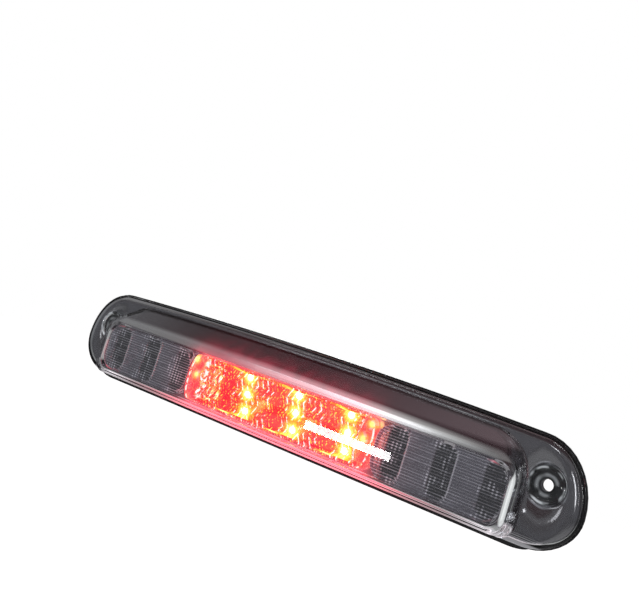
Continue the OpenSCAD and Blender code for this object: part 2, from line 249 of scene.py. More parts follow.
class Shell:
    """Collects loops of points and the faces between them."""

    def __init__(self):
        self.bm = bmesh.new()

    def corner(self, x, z, w):
        return self.bm.verts.new(place(x, z, w))

    def loop(self, points, w):
        return [self.corner(x, z, w) for x, z in points]

    def leaning_loop(self, points, w, share=1.0):
        """A loop of the boards' frame; a smaller share leans only part of the way."""
        loop = []
        for x, z in points:
            straight = place(x, z, w)
            loop.append(self.bm.verts.new(straight.lerp(place(*leaned(x, z, w)), share)))
        return loop

    def bridge(self, a, b):
        for i in range(len(a)):
            j = (i + 1) % len(a)
            self.bm.faces.new((a[i], a[j], b[j], b[i]))

    def loft(self, loops):
        for a, b in zip(loops, loops[1:]):
            self.bridge(a, b)

    def stages(self, stages):
        loops = [self.loop(ring.points(), w) for ring, w in stages]
        self.loft(loops)
        return loops

    def cap(self, loop):
        self.bm.faces.new(loop)

    def grid(self, rows, flip=False):
        """The faces between neighbouring rows of corners."""
        for a, b in zip(rows, rows[1:]):
            for i in range(len(a) - 1):
                corners = [a[i], a[i + 1], b[i + 1], b[i]]
                self.cap(corners[::-1] if flip else corners)

    def sheet_with_holes(self, *loops):
        """Fills the flat region between an outer loop and the loops inside it."""
        edges = []
        for loop in loops:
            for i in range(len(loop)):
                pair = (loop[i], loop[(i + 1) % len(loop)])
                edges.append(self.bm.edges.get(pair) or self.bm.edges.new(pair))
        bmesh.ops.triangle_fill(self.bm, edges=edges, use_beauty=True)

    def piece(self, name, slot, node, sharp=32):
        """Makes the shell a piece of the lamp, smooth but for edges sharper than the angle."""
        bmesh.ops.recalc_face_normals(self.bm, faces=self.bm.faces)
        mesh = bpy.data.meshes.new(name)
        self.bm.to_mesh(mesh)
        self.bm.free()
        for face in mesh.polygons:
            face.use_smooth = True
        mesh.set_sharp_from_angle(angle=math.radians(sharp))
        mesh.materials.append(MATERIALS[slot])
        piece = bpy.data.objects.new(name, mesh)
        bpy.context.scene.collection.objects.link(piece)
        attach(piece, "root")
        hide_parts(node)
        return piece


# ---------------------------------------------------------------- materials

def new_material(name):
    material = bpy.data.materials.new(name)
    material.use_nodes = True
    return material, material.node_tree, material.node_tree.nodes["Principled BSDF"]


def fill(node, inputs):
    """Fills a node's inputs, each from another node's output or with a number, a colour or a vector."""
    for key, value in inputs.items():
        socket = node.inputs[key]
        if isinstance(value, bpy.types.NodeSocket):
            node.id_data.links.new(value, socket)
        elif socket.type == "RGBA":
            socket.default_value = (*value, 1)
        else:
            socket.default_value = value


def math_node(kind, *values):
    """The result of a Math node, in the tree of the first value that is a socket."""
    tree = next(value.id_data for value in values if isinstance(value, bpy.types.NodeSocket))
    node = tree.nodes.new("ShaderNodeMath")
    node.operation = kind
    fill(node, dict(enumerate(values)))
    return node.outputs["Value"]


def operations(*kinds):
    """Functions that each add a Math node of a kind and return its result."""
    return [functools.partial(math_node, kind) for kind in kinds]


times, plus, minus, over, times_plus = operations("MULTIPLY", "ADD", "SUBTRACT", "DIVIDE", "MULTIPLY_ADD")
greater, lesser, absolute, sign_of = operations("MAXIMUM", "MINIMUM", "ABSOLUTE", "SIGN")
root, exponential = operations("SQRT", "EXPONENT")
rounded, floored, fraction, pingpong = operations("ROUND", "FLOOR", "FRACT", "PINGPONG")


def product(first, *others):
    return functools.reduce(times, others, first)


def total(first, *others):
    return functools.reduce(plus, others, first)


def hypotenuse(a, b):
    return root(times_plus(a, a, times(b, b)))


def object_coordinates(tree):
    return tree.nodes.new("ShaderNodeTexCoord").outputs["Object"]


def millimetres(tree):
    """Sockets with the x, height and w of the shaded point."""
    split = tree.nodes.new("ShaderNodeSeparateXYZ")
    fill(split, {"Vector": object_coordinates(tree)})
    return [times(split.outputs[axis], sign / MM) for axis, sign in (("X", 1), ("Z", 1), ("Y", -1))]


def noise_texture(tree, scale, detail=3.0, coordinates=None):
    texture = tree.nodes.new("ShaderNodeTexNoise")
    fill(texture, {"Scale": scale, "Detail": detail, "Vector": coordinates or object_coordinates(tree)})
    return texture.outputs["Fac"]


def cell_edges(tree, size):
    """Distance to the nearest edge of random cells about size millimetres across."""
    texture = tree.nodes.new("ShaderNodeTexVoronoi")
    texture.feature = "DISTANCE_TO_EDGE"
    fill(texture, {"Scale": 1 / (size * MM), "Vector": object_coordinates(tree)})
    return texture.outputs["Distance"]


def ramp(source, stops):
    """A colour ramp; stops are (position, (r, g, b))."""
    node = source.id_data.nodes.new("ShaderNodeValToRGB")
    elements = node.color_ramp.elements
    while len(elements) < len(stops):
        elements.new(0.5)
    for element, (position, colour) in zip(elements, stops):
        element.position = position
        element.color = (*colour, 1)
    fill(node, {"Fac": source})
    return node.outputs["Color"]


def grey(source, *stops):
    """A ramp of levels; stops are (position, level)."""
    return ramp(source, [(position, (level, level, level)) for position, level in stops])


def rise(value, start, end):
    """0 up to start and 1 from end on, which may lie on either side of it."""
    share = times_plus(value, 1 / (end - start), -start / (end - start))
    share.node.use_clamp = True
    return share


def falloff(value, middle, half, reach):
    """1 within half of middle, fading to 0 over about reach millimetres."""
    away = greater(minus(absolute(minus(value, middle)), half), 0.0)
    return exponential(times(away, -1 / reach))


def mix_colour(amount, a, b):
    node = amount.id_data.nodes.new("ShaderNodeMix")
    node.data_type = "RGBA"
    fill(node, {0: amount, 6: a, 7: b})
    return node.outputs[2]


def choose(tree, rays, others, these):
    """A shader that is one for these rays, named as in the Light Path node, and another for all others."""
    light_path = tree.nodes.new("ShaderNodeLightPath")
    mix = tree.nodes.new("ShaderNodeMixShader")
    fill(mix, {"Fac": light_path.outputs[rays], 1: others, 2: these})
    return mix.outputs["Shader"]


def bump(shader, height, distance):
    node = shader.id_data.nodes.new("ShaderNodeBump")
    fill(node, {"Distance": distance, "Strength": 1.0, "Height": height})
    fill(shader, {"Normal": node.outputs["Normal"]})


def shine(shader, *parts):
    """Makes a surface give off painted light, the sum of the parts; each is (amount, colour)."""
    light = (0, 0, 0)
    for amount, colour in parts:
        sum_so_far = shader.id_data.nodes.new("ShaderNodeVectorMath")
        sum_so_far.operation = "MULTIPLY_ADD"
        fill(sum_so_far, {0: colour, 1: amount, 2: light})
        light = sum_so_far.outputs["Vector"]
    fill(shader, {"Emission Color": light, "Emission Strength": 1.0})


def let_lamps_through(shader, tint):
    """Makes a clear material cast a tinted shadow, so that lamps reach what is behind it."""
    tree = shader.id_data
    through = tree.nodes.new("ShaderNodeBsdfTransparent")
    fill(through, {"Color": tint})
    surface_shader = choose(tree, "Is Shadow Ray", shader.outputs["BSDF"], through.outputs["BSDF"])
    fill(tree.nodes["Material Output"], {"Surface": surface_shader})


def surface(name, dark, light, roughness, spread=0.08, grain=900.0, depth=0.00002, metallic=0.0):
    """An opaque finish whose colour and gloss vary slightly, with a fine surface grain."""
    material, tree, shader = new_material(name)
    cloudy = noise_texture(tree, 35.0, 4.0)
    fill(shader, {"Base Color": ramp(cloudy, [(0.3, dark), (0.7, light)]),
                  "Roughness": grey(cloudy, (0.25, roughness - spread), (0.75, roughness + spread)),
                  "Metallic": metallic})
    bump(shader, noise_texture(tree, grain, 2.0), depth)
    return material


def unlit_diode():
    """Pale clear epoxy, slightly wavy."""
    material, tree, shader = new_material("led_white")
    tint, pale = (0.9, 0.9, 0.82), (0.918, 0.918, 0.8364)
    wave = noise_texture(tree, 90.0, 1.0)
    fill(shader, {"Base Color": ramp(wave, [(0.2, tint), (0.8, pale)]), "Roughness": 0.02, "IOR": 1.45,
                  "Transmission Weight": 1.0})
    bump(shader, wave, 0.00001)
    let_lamps_through(shader, tint)
    return material


def thin_clear(shader):
    """Sets a shader up as a thin clear sheet: nothing behind it is bent, and its coat reflects."""
    fill(shader, {"Roughness": 0.0, "IOR": 1.03, "Transmission Weight": 1.0, "Coat Weight": 1.0,
                  "Coat Roughness": 0.03})


def clear_polycarbonate():
    """The outer lens; a painted glow along its lower edge, coming out there in lines, stands for the brake
    light running inside it.
    """
    material, tree, shader = new_material("clear_polycarbonate")
    tint = (0.93, 0.95, 0.965)
    x, z, w = millimetres(tree)
    wave = noise_texture(tree, 60.0, 1.0)
    fill(shader, {"Base Color": ramp(wave, [(0.2, tint), (0.8, (0.95, 0.97, 0.98))]),
                  "Roughness": 0.012, "IOR": 1.45, "Transmission Weight": 1.0})

    # the lower edge: a painted red glow along the brake light, a painted grey highlight towards the ends, and
    # crossed by painted pale lines
    edge = times(rise(z, -38.9, -39.9), rise(w, 4.6, 5.4))
    lit = falloff(x, 0, 88, 22)
    band = pingpong(over(w, 4.4), 0.5)
    lines = times(edge, rise(band, 0.36, 0.46))
    near_end = times_plus(rise(absolute(x), 150.0, 195.0), 0.22, 0.06)
    pale = times_plus(lit, 0.18, near_end)

    # broken painted glints round the rim of each screw recess and round its hole
    radius = hypotenuse(minus(absolute(x), HOLE_X), z)
    patchy = rise(noise_texture(tree, 110.0, 1.0), 0.44, 0.60)
    painted_ring_glints = total(*(product(rise(absolute(minus(radius, at)), reach, reach * 0.2), patchy, level)
                    for at, reach, level in ((RECESS_R + 0.5, 1.1, 0.45), (HOLE_R + 2.6, 1.7, 0.16))))
    shine(shader,
          (product(painted_ring_glints, rise(w, 6.0, 6.6)), (0.9, 0.95, 1.0)),
          (product(edge, lit), (0.52, 0.016, 0.045)),
          (product(edge, near_end), (0.9, 0.9, 0.95)),
          (product(lines, pale), (1.0, 0.62, 0.68)))
    let_lamps_through(shader, tint)
    return material


def metallised_bezel():
    """Slightly dark vacuum metallising, with a painted red glow where the brake light spills onto it and
    painted highlights and sheen on its sill, lips, bevel and slope.
    """
    material, tree, shader = new_material("metallised_bezel")
    cloudy = noise_texture(tree, 12.0, 5.0)
    x, z, w = millimetres(tree)
    metal = ramp(cloudy, [(0.3, (0.38, 0.37, 0.385)), (0.7, (0.45, 0.435, 0.45))])
    # the metal is darker along its lowest edge, next to the lens's foot
    low = rise(w, 5.9, 5.2)
    fill(shader, {"Base Color": mix_colour(low, metal, (0.05, 0.045, 0.05)), "Metallic": 1.0,
                  "Roughness": grey(cloudy, (0.2, 0.10), (0.8, 0.14))})

    # a painted red glow of the brake light on the metal round it, and painted highlight lines on the edges of
    # the sill below the lamps
    near = times(falloff(x, 0, 84, 6), falloff(z, ROW_MIDDLE - 2, 21, 4.5))
    far = times(falloff(x, 0, 60, 45), falloff(z, ROW_MIDDLE, 22, 22))
    lit = falloff(x, 0, 84, 16)
    below = rise(z, -36.2, -36.6)
    spill = times(times_plus(far, 0.035, near), 0.8)
    spill = greater(spill, product(below, lit, 0.45))
    band = pingpong(over(z, 1.25), 0.5)
    lines = times(rise(band, 0.30, 0.42), rise(z, -35.4, -35.9))

    # painted highlights on the right of the lips round the cups of the cargo lamps
    lip = times(rise(w, PAN_FLOOR + 0.08, PAN_FLOOR + 0.2), rise(w, PAN_FLOOR + 0.7, PAN_FLOOR + 0.5))
    inner = rise(z, 5.7, 5.4)
    beside = over(minus(x, times(sign_of(x), CARGO_MIDDLE)), CARGO_PITCH)
    beside = minus(beside, rounded(beside))
    lip = product(lip, inner, greater(rise(beside, 0.10, 0.17), rise(z, 1.5, 3.0)))
    lines = greater(lines, lip)
    line_colour = mix_colour(lit, (0.8, 0.78, 0.8), (1.0, 0.34, 0.40))
    line_level = times_plus(lit, 0.32, 0.22)

    # a painted highlight on the bevel between the sloping top and the front, brighter towards the right, and
    # painted highlights round both ends of the pan, brighter at its right end
    white = (0.95, 0.97, 0.95)
    bevel = times(rise(w, 21.5, 24.0), rise(z, 6.1, 7.0))
    bright = times(rise(x, -60.0, 50.0), rise(x, 170.0, 90.0))
    core = times(bright, rise(absolute(minus(z, 9.2)), 1.6, 0.9))
    bevel_level = times_plus(core, 0.45, times_plus(bright, 0.30, 0.125))
    bevel_colour = mix_colour(falloff(x, 0, 70, 20), white, (1.0, 0.68, 0.72))
    height = rise(w, 17.0, 23.0)
    end_band = times(height, height)
    right_end = times(end_band, rise(x, 187.3, 187.9))
    left_end = times(end_band, rise(x, -187.3, -187.9))
    ends = times_plus(left_end, 0.45, times(right_end, 0.65))

    # the slope above the lamps: a painted grey sheen towards the right, with a cloudy painted red glow of the
    # brake light over the brake lamp
    slope = product(rise(z, 13.0, 16.0), rise(w, 7.0, 9.0), rise(x, 20.0, 190.0))
    cloud = rise(noise_texture(tree, 90.0, 2.0), 0.30, 0.70)
    painted_red_glow = product(falloff(x, 0, 60, 14), falloff(z, 12.5, 0.5, 5.0), cloud)
    shine(shader,
          (spill, (1.0, 0.07, 0.12)),
          (times(lines, line_level), line_colour),
          (times(bevel, bevel_level), bevel_colour),
          (ends, white),
          (slope, (0.092, 0.072, 0.077)),
          (painted_red_glow, (0.22, 0.012, 0.028)))
    return material


def nearest_column(x):
    """The x of the brake diode column nearest to x."""
    column = rounded(over(x, BRAKE_PITCH))
    inside = greater(lesser(column, 1.0), -1.0)
    return times(inside, BRAKE_PITCH)


def diode_distance(x, z):
    """Distance to the nearest brake diode across the leaning floor of the mirror box."""
    dx = minus(x, nearest_column(x))
    middle, pitch = leaned(0, ROW_MIDDLE, CUP_FLOOR)[1], ROW_PITCH * math.cos(BOARD_LEAN)
    row = over(minus(z, middle), pitch)
    return hypotenuse(dx, times(minus(row, rounded(row)), pitch))


def spot(x, z, at, size):
    """1 at a point of the lamp's face, fading to 0 over about size millimetres."""
    dx = minus(x, at[0])
    dz = minus(z, at[1])
    square = times_plus(dx, dx, times(dz, dz))
    return exponential(times(square, -1 / size ** 2))


def lit_reflector():
    """Mirror coating with a painted glow standing for the diodes' light on it: yellow next to them, then
    orange and red, with painted stray caustics.
    """
    material, tree, shader = new_material("reflector_metal")
    x, z, _ = millimetres(tree)
    fill(shader, {"Base Color": (0.9, 0.3, 0.3), "Metallic": 1.0, "Roughness": 0.08})
    ragged = times_plus(noise_texture(tree, 520.0, 3.0), 6.0, diode_distance(x, z))
    share = over(ragged, 25.0)
    colour = ramp(share, [
        (0.23, (1.0, 0.88, 0.25)), (0.33, (1.0, 0.62, 0.02)), (0.44, (1.0, 0.20, 0.01)),
        (0.56, (1.0, 0.022, 0.02)), (1.0, (0.95, 0.004, 0.04))])
    # painted stray caustics along random cell edges
    painted_caustics = grey(cell_edges(tree, 6.0), (0.0, 1.0), (0.035, 0.0))
    painted_caustics = times(painted_caustics, grey(share, (0.2, 1.0), (0.8, 0.1)))
    level = grey(share, (0.23, 1.0), (0.36, 0.6), (0.56, 0.42), (1.0, 0.40))
    fill(shader, {"Emission Color": mix_colour(painted_caustics, colour, (1.0, 0.55, 0.06)),
                  "Emission Strength": times(level, 2.3)})
    return material


def brake_lens_acrylic():
    """Red tinted clear lens; painted dashes and lines of light stand for its zigzag prisms breaking the
    diodes' light into rows of dashes.
    """
    material, tree, shader = new_material("brake_lens_acrylic")
    x, z, w = millimetres(tree)
    fill(shader, {"Base Color": (1.0, 0.80, 0.74)})
    thin_clear(shader)
    bump(shader, noise_texture(tree, 300.0, 2.0), 0.00004)
    column = nearest_column(x)
    offset = minus(x, column)
    across = absolute(offset)
    step = over(minus(z, ZIGZAG_MIDDLE), ROW_PITCH / 2)
    zigzag = times(pingpong(step, 1.0), ZIGZAG)
    u = minus(minus(across, zigzag), PRISM_START)
    wobble = noise_texture(tree, 700.0, 2.0)
    ragged = times_plus(wobble, 1.4, minus(u, 0.7))
    inside = rise(u, 4 * PRISM_PITCH, 4 * PRISM_PITCH - 0.5)

    # painted highlights on the crests of the prisms, as broken pale lines
    turn = fraction(over(ragged, PRISM_PITCH))
    crest = absolute(minus(turn, 0.5))
    prisms = grey(crest, (0.07, 1.0), (0.14, 0.0))
    breaks = grey(noise_texture(tree, 330.0, 2.0), (0.46, 0.0), (0.55, 1.0))
    started = rise(u, 0.0, 0.6)
    lines = product(prisms, breaks, started)

    # painted dashes of light in rows between the crests, each with a colour of its own
    across_cell = over(ragged, PRISM_PITCH / 2)
    column_cell = floored(across_cell)
    drift = noise_texture(tree, 160.0, 2.0)
    up_cell = plus(times_plus(drift, 3.5, over(z, 3.1)), times(column_cell, 0.5))
    cell = tree.nodes.new("ShaderNodeCombineXYZ")
    fill(cell, {"X": plus(column_cell, times(sign_of(offset), 40.0)), "Y": floored(up_cell), "Z": column})
    chance = tree.nodes.new("ShaderNodeTexWhiteNoise")
    fill(chance, {"Vector": cell.outputs["Vector"]})
    channel = tree.nodes.new("ShaderNodeSeparateColor")
    fill(channel, {"Color": chance.outputs["Color"]})
    fu = minus(fraction(across_cell), 0.5)
    fz = minus(fraction(up_cell), 0.5)
    spread = plus(product(fu, fu, 14.0), product(fz, fz, 6.0))
    blob = exponential(times(spread, -1.0))
    dashes = times(grey(blob, (0.52, 0.0), (0.72, 1.0)),
                   grey(channel.outputs["Green"], (0.22, 0.0), (0.45, 1.0)))
    heat = minus(plus(channel.outputs["Red"], 0.28), times(across, 0.009))
    dash_colour = ramp(heat, [
        (0.10, (1.0, 0.62, 0.60)), (0.24, (1.0, 0.10, 0.02)), (0.5, (1.0, 0.30, 0.01)),
        (0.85, (1.0, 0.62, 0.04))])

    # the plain end of the lens, between its rounded edge and the arc where the prisms start: painted
    # highlights along that edge and arc, and painted reflections of the diodes
    xh, top, bottom, rx, rz = brake_window(0).sizes[:5]
    from_middle = absolute(minus(z, (top + bottom) / 2))
    past = greater(times_plus(from_middle, 1 / rz, 1 - (top - bottom) / 2 / rz), 0.0)
    side = root(greater(minus(1.0, times(past, past)), 0.0))
    edge_x = times_plus(side, rx, xh - rx - 0.3)
    arc_x = times_plus(times(from_middle, from_middle), ARC_BOW / ARC_SPAN ** 2, ARC_X)
    reach = absolute(x)
    rim_x = absolute(minus(edge_x, reach))
    arc = absolute(minus(arc_x, reach))
    rim = greater(rise(rim_x, 1.0, 0.5), rise(arc, 0.8, 0.3))
    rim = times(rim, breaks)
    painted_diode_images = total(*(spot(x, z, at, 2.9) for at in PAINTED_DIODE_REFLECTIONS))

    # all the painted light on the lens's face together
    picture = times(dashes, inside)
    lines = greater(times(lines, inside), times(rim, 0.9))
    colour = mix_colour(lines, dash_colour, (1.0, 0.70, 0.72))
    colour = mix_colour(painted_diode_images, colour, (1.0, 0.75, 0.15))
    level = greater(times(lines, 1.7), times(picture, 1.2))
    level = greater(level, times(painted_diode_images, 2.0))
    level = times(level, rise(w, 18.25, 18.35))

    # a painted glow on its raised plain ends, with painted streaks standing for the mirror behind them
    plain = product(rise(minus(reach, arc_x), 0.0, 0.6), rise(w, 17.2, 18.2))
    streak = grey(cell_edges(tree, 7.0), (0.0, 1.0), (0.05, 0.0))
    plain_colour = mix_colour(streak, (0.95, 0.03, 0.05), (1.0, 0.35, 0.16))
    fill(shader, {"Emission Color": mix_colour(rise(level, 0.0, 0.5), plain_colour, colour),
                  "Emission Strength": greater(level, times(plain, 0.62))})
    let_lamps_through(shader, (1.0, 0.5, 0.45))
    return material


def fluted_acrylic():
    """Clear lens striped by painted highlights on its flutes; a painted red glow on its rim stands for the
    brake light it picks up.
    """
    material, tree, shader = new_material("fluted_acrylic")
    x, z, w = millimetres(tree)
    fill(shader, {"Base Color": (0.80, 0.80, 0.84)})
    thin_clear(shader)
    fill(shader, {"IOR": 1.4, "Coat Weight": 0.2})

    # painted highlights on the flutes, in broken lines
    turn = pingpong(over(z, FLUTE_PITCH), 0.5)
    mapping = tree.nodes.new("ShaderNodeMapping")
    fill(mapping, {"Vector": object_coordinates(tree), "Scale": (60, 60, 1 / (FLUTE_PITCH * MM))})
    streaky = noise_texture(tree, 1.0, 3.0, mapping.outputs["Vector"])
    flutes = times(grey(turn, (0.30, 0.0), (0.44, 1.0)), grey(streaky, (0.35, 0.15), (0.65, 1.0)))

    # a painted red glow of the brake light on the lens's rim, on the side away from the brake light
    xh, top, bottom, r = cargo_outline().sizes[:4]
    dx = minus(absolute(x), CARGO_LENS_X)
    outer = grey(over(dx, 100.0), (0.30, 0.0), (0.36, 1.0))
    corner_x = greater(minus(absolute(dx), xh - r), 0.0)
    dz = absolute(minus(z, (top + bottom) / 2))
    corner_z = greater(minus(dz, (top - bottom) / 2 - r), 0.0)
    reach = hypotenuse(corner_x, corner_z)
    rim = product(rise(reach, 0.88 * r, 0.94 * r), rise(w, 23.2, 24.0), outer,
                  grey(noise_texture(tree, 60.0, 2.0), (0.42, 0.0), (0.58, 1.0)))
    lit = falloff(x, 0, 90, 13)
    flute_colour = mix_colour(lit, (0.72, 0.70, 0.78), (1.0, 0.46, 0.55))
    front = rise(w, 24.3, 24.5)
    flute_level = product(flutes, front, times_plus(lit, 0.5, 0.22))

    # broken teeth of painted light over the cups
    offset = over(minus(absolute(x), CARGO_MIDDLE), CARGO_PITCH)
    offset = times(absolute(minus(offset, rounded(offset))), CARGO_PITCH)
    comb = pingpong(over(x, 3.0), 0.5)
    teeth = product(rise(comb, 0.22, 0.34), rise(offset, 9.5, 7.5), rise(turn, 0.16, 0.30),
                    rise(noise_texture(tree, 130.0, 2.0), 0.46, 0.60), front)
    tooth_level = times(teeth, times_plus(lit, 0.6, 0.38))
    # a faint painted glow over the whole front
    faint_painted_glow = times(front, 0.03)
    level = greater(greater(flute_level, tooth_level), faint_painted_glow)
    fill(shader, {"Emission Color": mix_colour(rim, flute_colour, (1.0, 0.07, 0.13)),
                  "Emission Strength": greater(level, times(rim, 0.45))})
    let_lamps_through(shader, (0.85, 0.86, 0.9))
    return material


def glowing(name, core, rim, strength):
    """A lit diode: its core is brighter than its rim."""
    material, tree, shader = new_material(name)
    weight = tree.nodes.new("ShaderNodeLayerWeight")
    fill(weight, {"Blend": 0.4})
    fill(shader, {"Base Color": rim, "Roughness": 0.1, "Emission Strength": strength,
                  "Emission Color": ramp(weight.outputs["Facing"], [(0.2, core), (0.8, rim)])})
    return material


MATERIALS = {
    "clear_polycarbonate": clear_polycarbonate(),
    "seal_butyl": surface("seal_butyl", (0.012, 0.012, 0.012), (0.03, 0.03, 0.03), 0.6),
    "black_plastic": surface("black_plastic", (0.020, 0.020, 0.021), (0.034, 0.034, 0.036), 0.42,
                             grain=1600.0, depth=0.00003),
    "gasket_foam": surface("gasket_foam", (0.008, 0.008, 0.008), (0.022, 0.022, 0.022), 0.85,
                           grain=2200.0, depth=0.0001),
    "zinc_steel": surface("zinc_steel", (0.55, 0.55, 0.52), (0.72, 0.71, 0.66), 0.32, metallic=1.0),
    "bezel_chrome": metallised_bezel(),
    "black_steel": surface("black_steel", (0.008, 0.008, 0.008), (0.016, 0.016, 0.017), 0.45),
    "brake_lens_acrylic": brake_lens_acrylic(),
    "fluted_acrylic": fluted_acrylic(),
    "reflector_metal": lit_reflector(),
    # the cargo lamps' mirror cups get a dark metal: painted shade inside the cups
    "cargo_reflector_metal": surface("cargo_reflector_metal", (0.10, 0.10, 0.11), (0.20, 0.20, 0.22), 0.16,
                                     spread=0.05, metallic=1.0),
    "led_red": glowing("led_red", (1.0, 0.95, 0.6), (1.0, 0.6, 0.08), 9.0),
    "led_white": unlit_diode(),
    "circuit_board": surface("circuit_board", (0.015, 0.10, 0.04), (0.03, 0.16, 0.07), 0.35),
    "resistor_body": surface("resistor_body", (0.50, 0.40, 0.26), (0.62, 0.50, 0.34), 0.4),
    "chip_body": surface("chip_body", (0.012, 0.012, 0.012), (0.025, 0.025, 0.025), 0.5),
    "capacitor_can": surface("capacitor_can", (0.55, 0.55, 0.57), (0.70, 0.70, 0.72), 0.3, metallic=1.0),
    "jumper_insulation": surface("jumper_insulation", (0.60, 0.10, 0.03), (0.75, 0.16, 0.05), 0.4),
    "connector_plastic": surface("connector_plastic", (0.018, 0.018, 0.020), (0.035, 0.035, 0.038), 0.4,
                                 grain=1400.0, depth=0.00003),
    "pin_brass": surface("pin_brass", (0.62, 0.50, 0.26), (0.75, 0.64, 0.38), 0.28, metallic=1.0),
    "seal_silicone": surface("seal_silicone", (0.38, 0.10, 0.03), (0.50, 0.16, 0.04), 0.5),
    "membrane": surface("membrane", (0.70, 0.70, 0.68), (0.84, 0.84, 0.82), 0.7),
}


# ---------------------------------------------------------------- lens and bezel

def thicken(piece):
    """Gives a metallised sheet its wall, behind the side that is seen."""
    wall = piece.modifiers.new("thickness", "SOLIDIFY")
    wall.thickness = METAL_WALL * MM
    wall.offset = -1


def keep_flats_flat(piece):
    """Shades the wide flat faces flat and leaves the turn to the narrow ones beside them."""
    weights = piece.modifiers.new("weights", "WEIGHTED_NORMAL")
    weights.mode = "FACE_AREA"
    weights.keep_sharp = True


def skin_stages(d):
    """The lamp's outer skin, d further in: first its rim up to the plateau, then the body up to the front."""
    level = PLATEAU - d
    start = max(6.2 - 0.6 * d, 4.7)
    dome, steps = [], 8
    for i in range(steps + 1):
        a = math.radians(90 * i / steps)
        out = 1 - math.cos(a)
        rim = outline(EDGE + d + 3.6 * out, EDGE + d + 0.9 * out, EDGE + d + 6.5 * out)
        dome.append((rim, start + (level - start) * math.sin(a)))
    foot = (bubble_foot(d), 7.2 - d)
    ridge = (bubble_ridge(d), 26.45 - 0.8 * d)
    front = (bubble_front(d), LENS_FRONT - d)
    span = ridge[1] - foot[1]
    at_plateau = between(foot, ridge, (level - foot[1]) / span)
    above = between(foot, ridge, (level + 0.8 - foot[1]) / span)
    outside = (at_plateau[0].grown(0.7, 0.7, 0.25), level)
    flat = (front[0].grown(-1.6, -1.2, -1.2), front[1])
    body = [*bend(outside, at_plateau, above, 4),
            *bend(between(ridge, foot, 0.10), ridge, between(ridge, front, 0.30), 6),
            *bend(between(front, ridge, 0.30), front, flat, 5)]
    return dome, body


def lens_skin(shell, d, ear_loops):
    """One side of the clear lens; ear_loops are the circles left open in its plateau."""
    dome, body = skin_stages(d)
    dome_loops = shell.stages(dome)
    body_loops = shell.stages(body)
    shell.sheet_with_holes(dome_loops[-1], body_loops[0], *ear_loops)
    shell.cap(body_loops[-1])
    return dome_loops[0]


def ear_profile():
    """The dished recess round a screw hole as (radius, w), from the plateau down to the bore."""
    top, floor = PLATEAU, PLATEAU - 2.0
    return [(RECESS_R + 1.3, top), (RECESS_R + 0.8, top - 0.05), (RECESS_R + 0.3, top - 0.25),
            (RECESS_R - 0.1, top - 0.6), (RECESS_R - 0.5, top - 1.1), (RECESS_R - 0.9, floor + 0.4),
            (RECESS_R - 1.5, floor + 0.08), (RECESS_R - 2.1, floor), (RECESS_R - 2.8, floor),
            (RECESS_R - 3.2, floor - 0.06), (RECESS_R - 3.6, floor - 0.25), (RECESS_R - 3.9, floor - 0.55),
            (RECESS_R - 4.4, floor - 0.8), (HOLE_R + 1.2, floor - 0.8), (HOLE_R + 0.5, floor - 0.74),
            (HOLE_R + 0.15, floor - 0.85), (HOLE_R, floor - 1.1), (HOLE_R, LENS_BACK)]


def build_outer_lens():
    shell = Shell()
    outer_ears, inner_ears = [], []
    for side in (-1, 1):
        loops = [shell.loop(moved(circle(r), side * HOLE_X), w) for r, w in ear_profile()]
        shell.loft(loops)
        seat, cup = [shell.loop(moved(circle(LENS_CUP_R), side * HOLE_X), w)
                     for w in (LENS_BACK, PLATEAU - LENS_WALL)]
        shell.loft([loops[-1], seat, cup])
        outer_ears.append(loops[0])
        inner_ears.append(cup)
    outer_rim = lens_skin(shell, 0.0, outer_ears)
    inner_rim = lens_skin(shell, LENS_WALL, inner_ears)
    feet = [shell.loop(outline(EDGE + d).points(), LENS_FOOT) for d in (0, LENS_WALL)]
    shell.loft([outer_rim, *feet, inner_rim])
    piece = shell.piece("clear_outer_lens", "clear_polycarbonate", "outer_lens")
    keep_flats_flat(piece)
    return piece


def bezel_floor(shell, rim):
    """The recessed floor with the brake light's window and the oval openings of the cargo lamps."""
    window = [shell.loop(brake_window(0).points(), w) for w in (PAN_FLOOR, FLOOR_BACK)]
    shell.loft(window)
    holes = [window[0]]
    # each opening's raised lip and its wall, as (growth, height above the floor)
    lip = [(1.3, 0.0), (1.15, 0.3), (0.6, 0.45), (0.15, 0.3), (0.0, 0.0), (0.0, FLOOR_BACK - PAN_FLOOR)]
    for side in (-1, 1):
        for x in cup_places(side):
            loops = [shell.loop(moved(cup_outline(g), x, SLOT_MIDDLE), PAN_FLOOR + h) for g, h in lip]
            shell.loft(loops)
            holes.append(loops[0])
    shell.sheet_with_holes(rim, *holes)


def build_bezel():
    shell = Shell()
    dome, body = skin_stages(BEZEL_INSET)
    ears = [shell.loop(moved(circle(LENS_CUP_R + 0.3), side * HOLE_X), PLATEAU - BEZEL_INSET)
            for side in (-1, 1)]
    dome_loops = shell.stages(dome)
    rim = (pan(0.0).grown(0.35, 0.35, 0.35), PAN_RIM)
    wall = [rim, (pan(0.1), PAN_RIM - 0.15), (pan(0), PAN_RIM - 0.6), (pan(0), PAN_FLOOR + 0.9),
            (pan(-0.25), PAN_FLOOR + 0.25), (pan(-0.9), PAN_FLOOR)]
    body_loops = shell.stages([*body[:-6], *wall])
    shell.sheet_with_holes(dome_loops[-1], body_loops[0], *ears)
    bezel_floor(shell, body_loops[-1])
    piece = shell.piece("metallised_bezel", "bezel_chrome", "chrome_bezel", sharp=28)
    keep_flats_flat(piece)
    thicken(piece)


# ---------------------------------------------------------------- lamps

def zigzag_offset(z):
    """How far sideways a prism stands at height z: 0 at its middle corner, most half a row's pitch away."""
    steps = (z - ZIGZAG_MIDDLE) / (ROW_PITCH / 2)
    return ZIGZAG * (1 - abs(steps % 2 - 1))


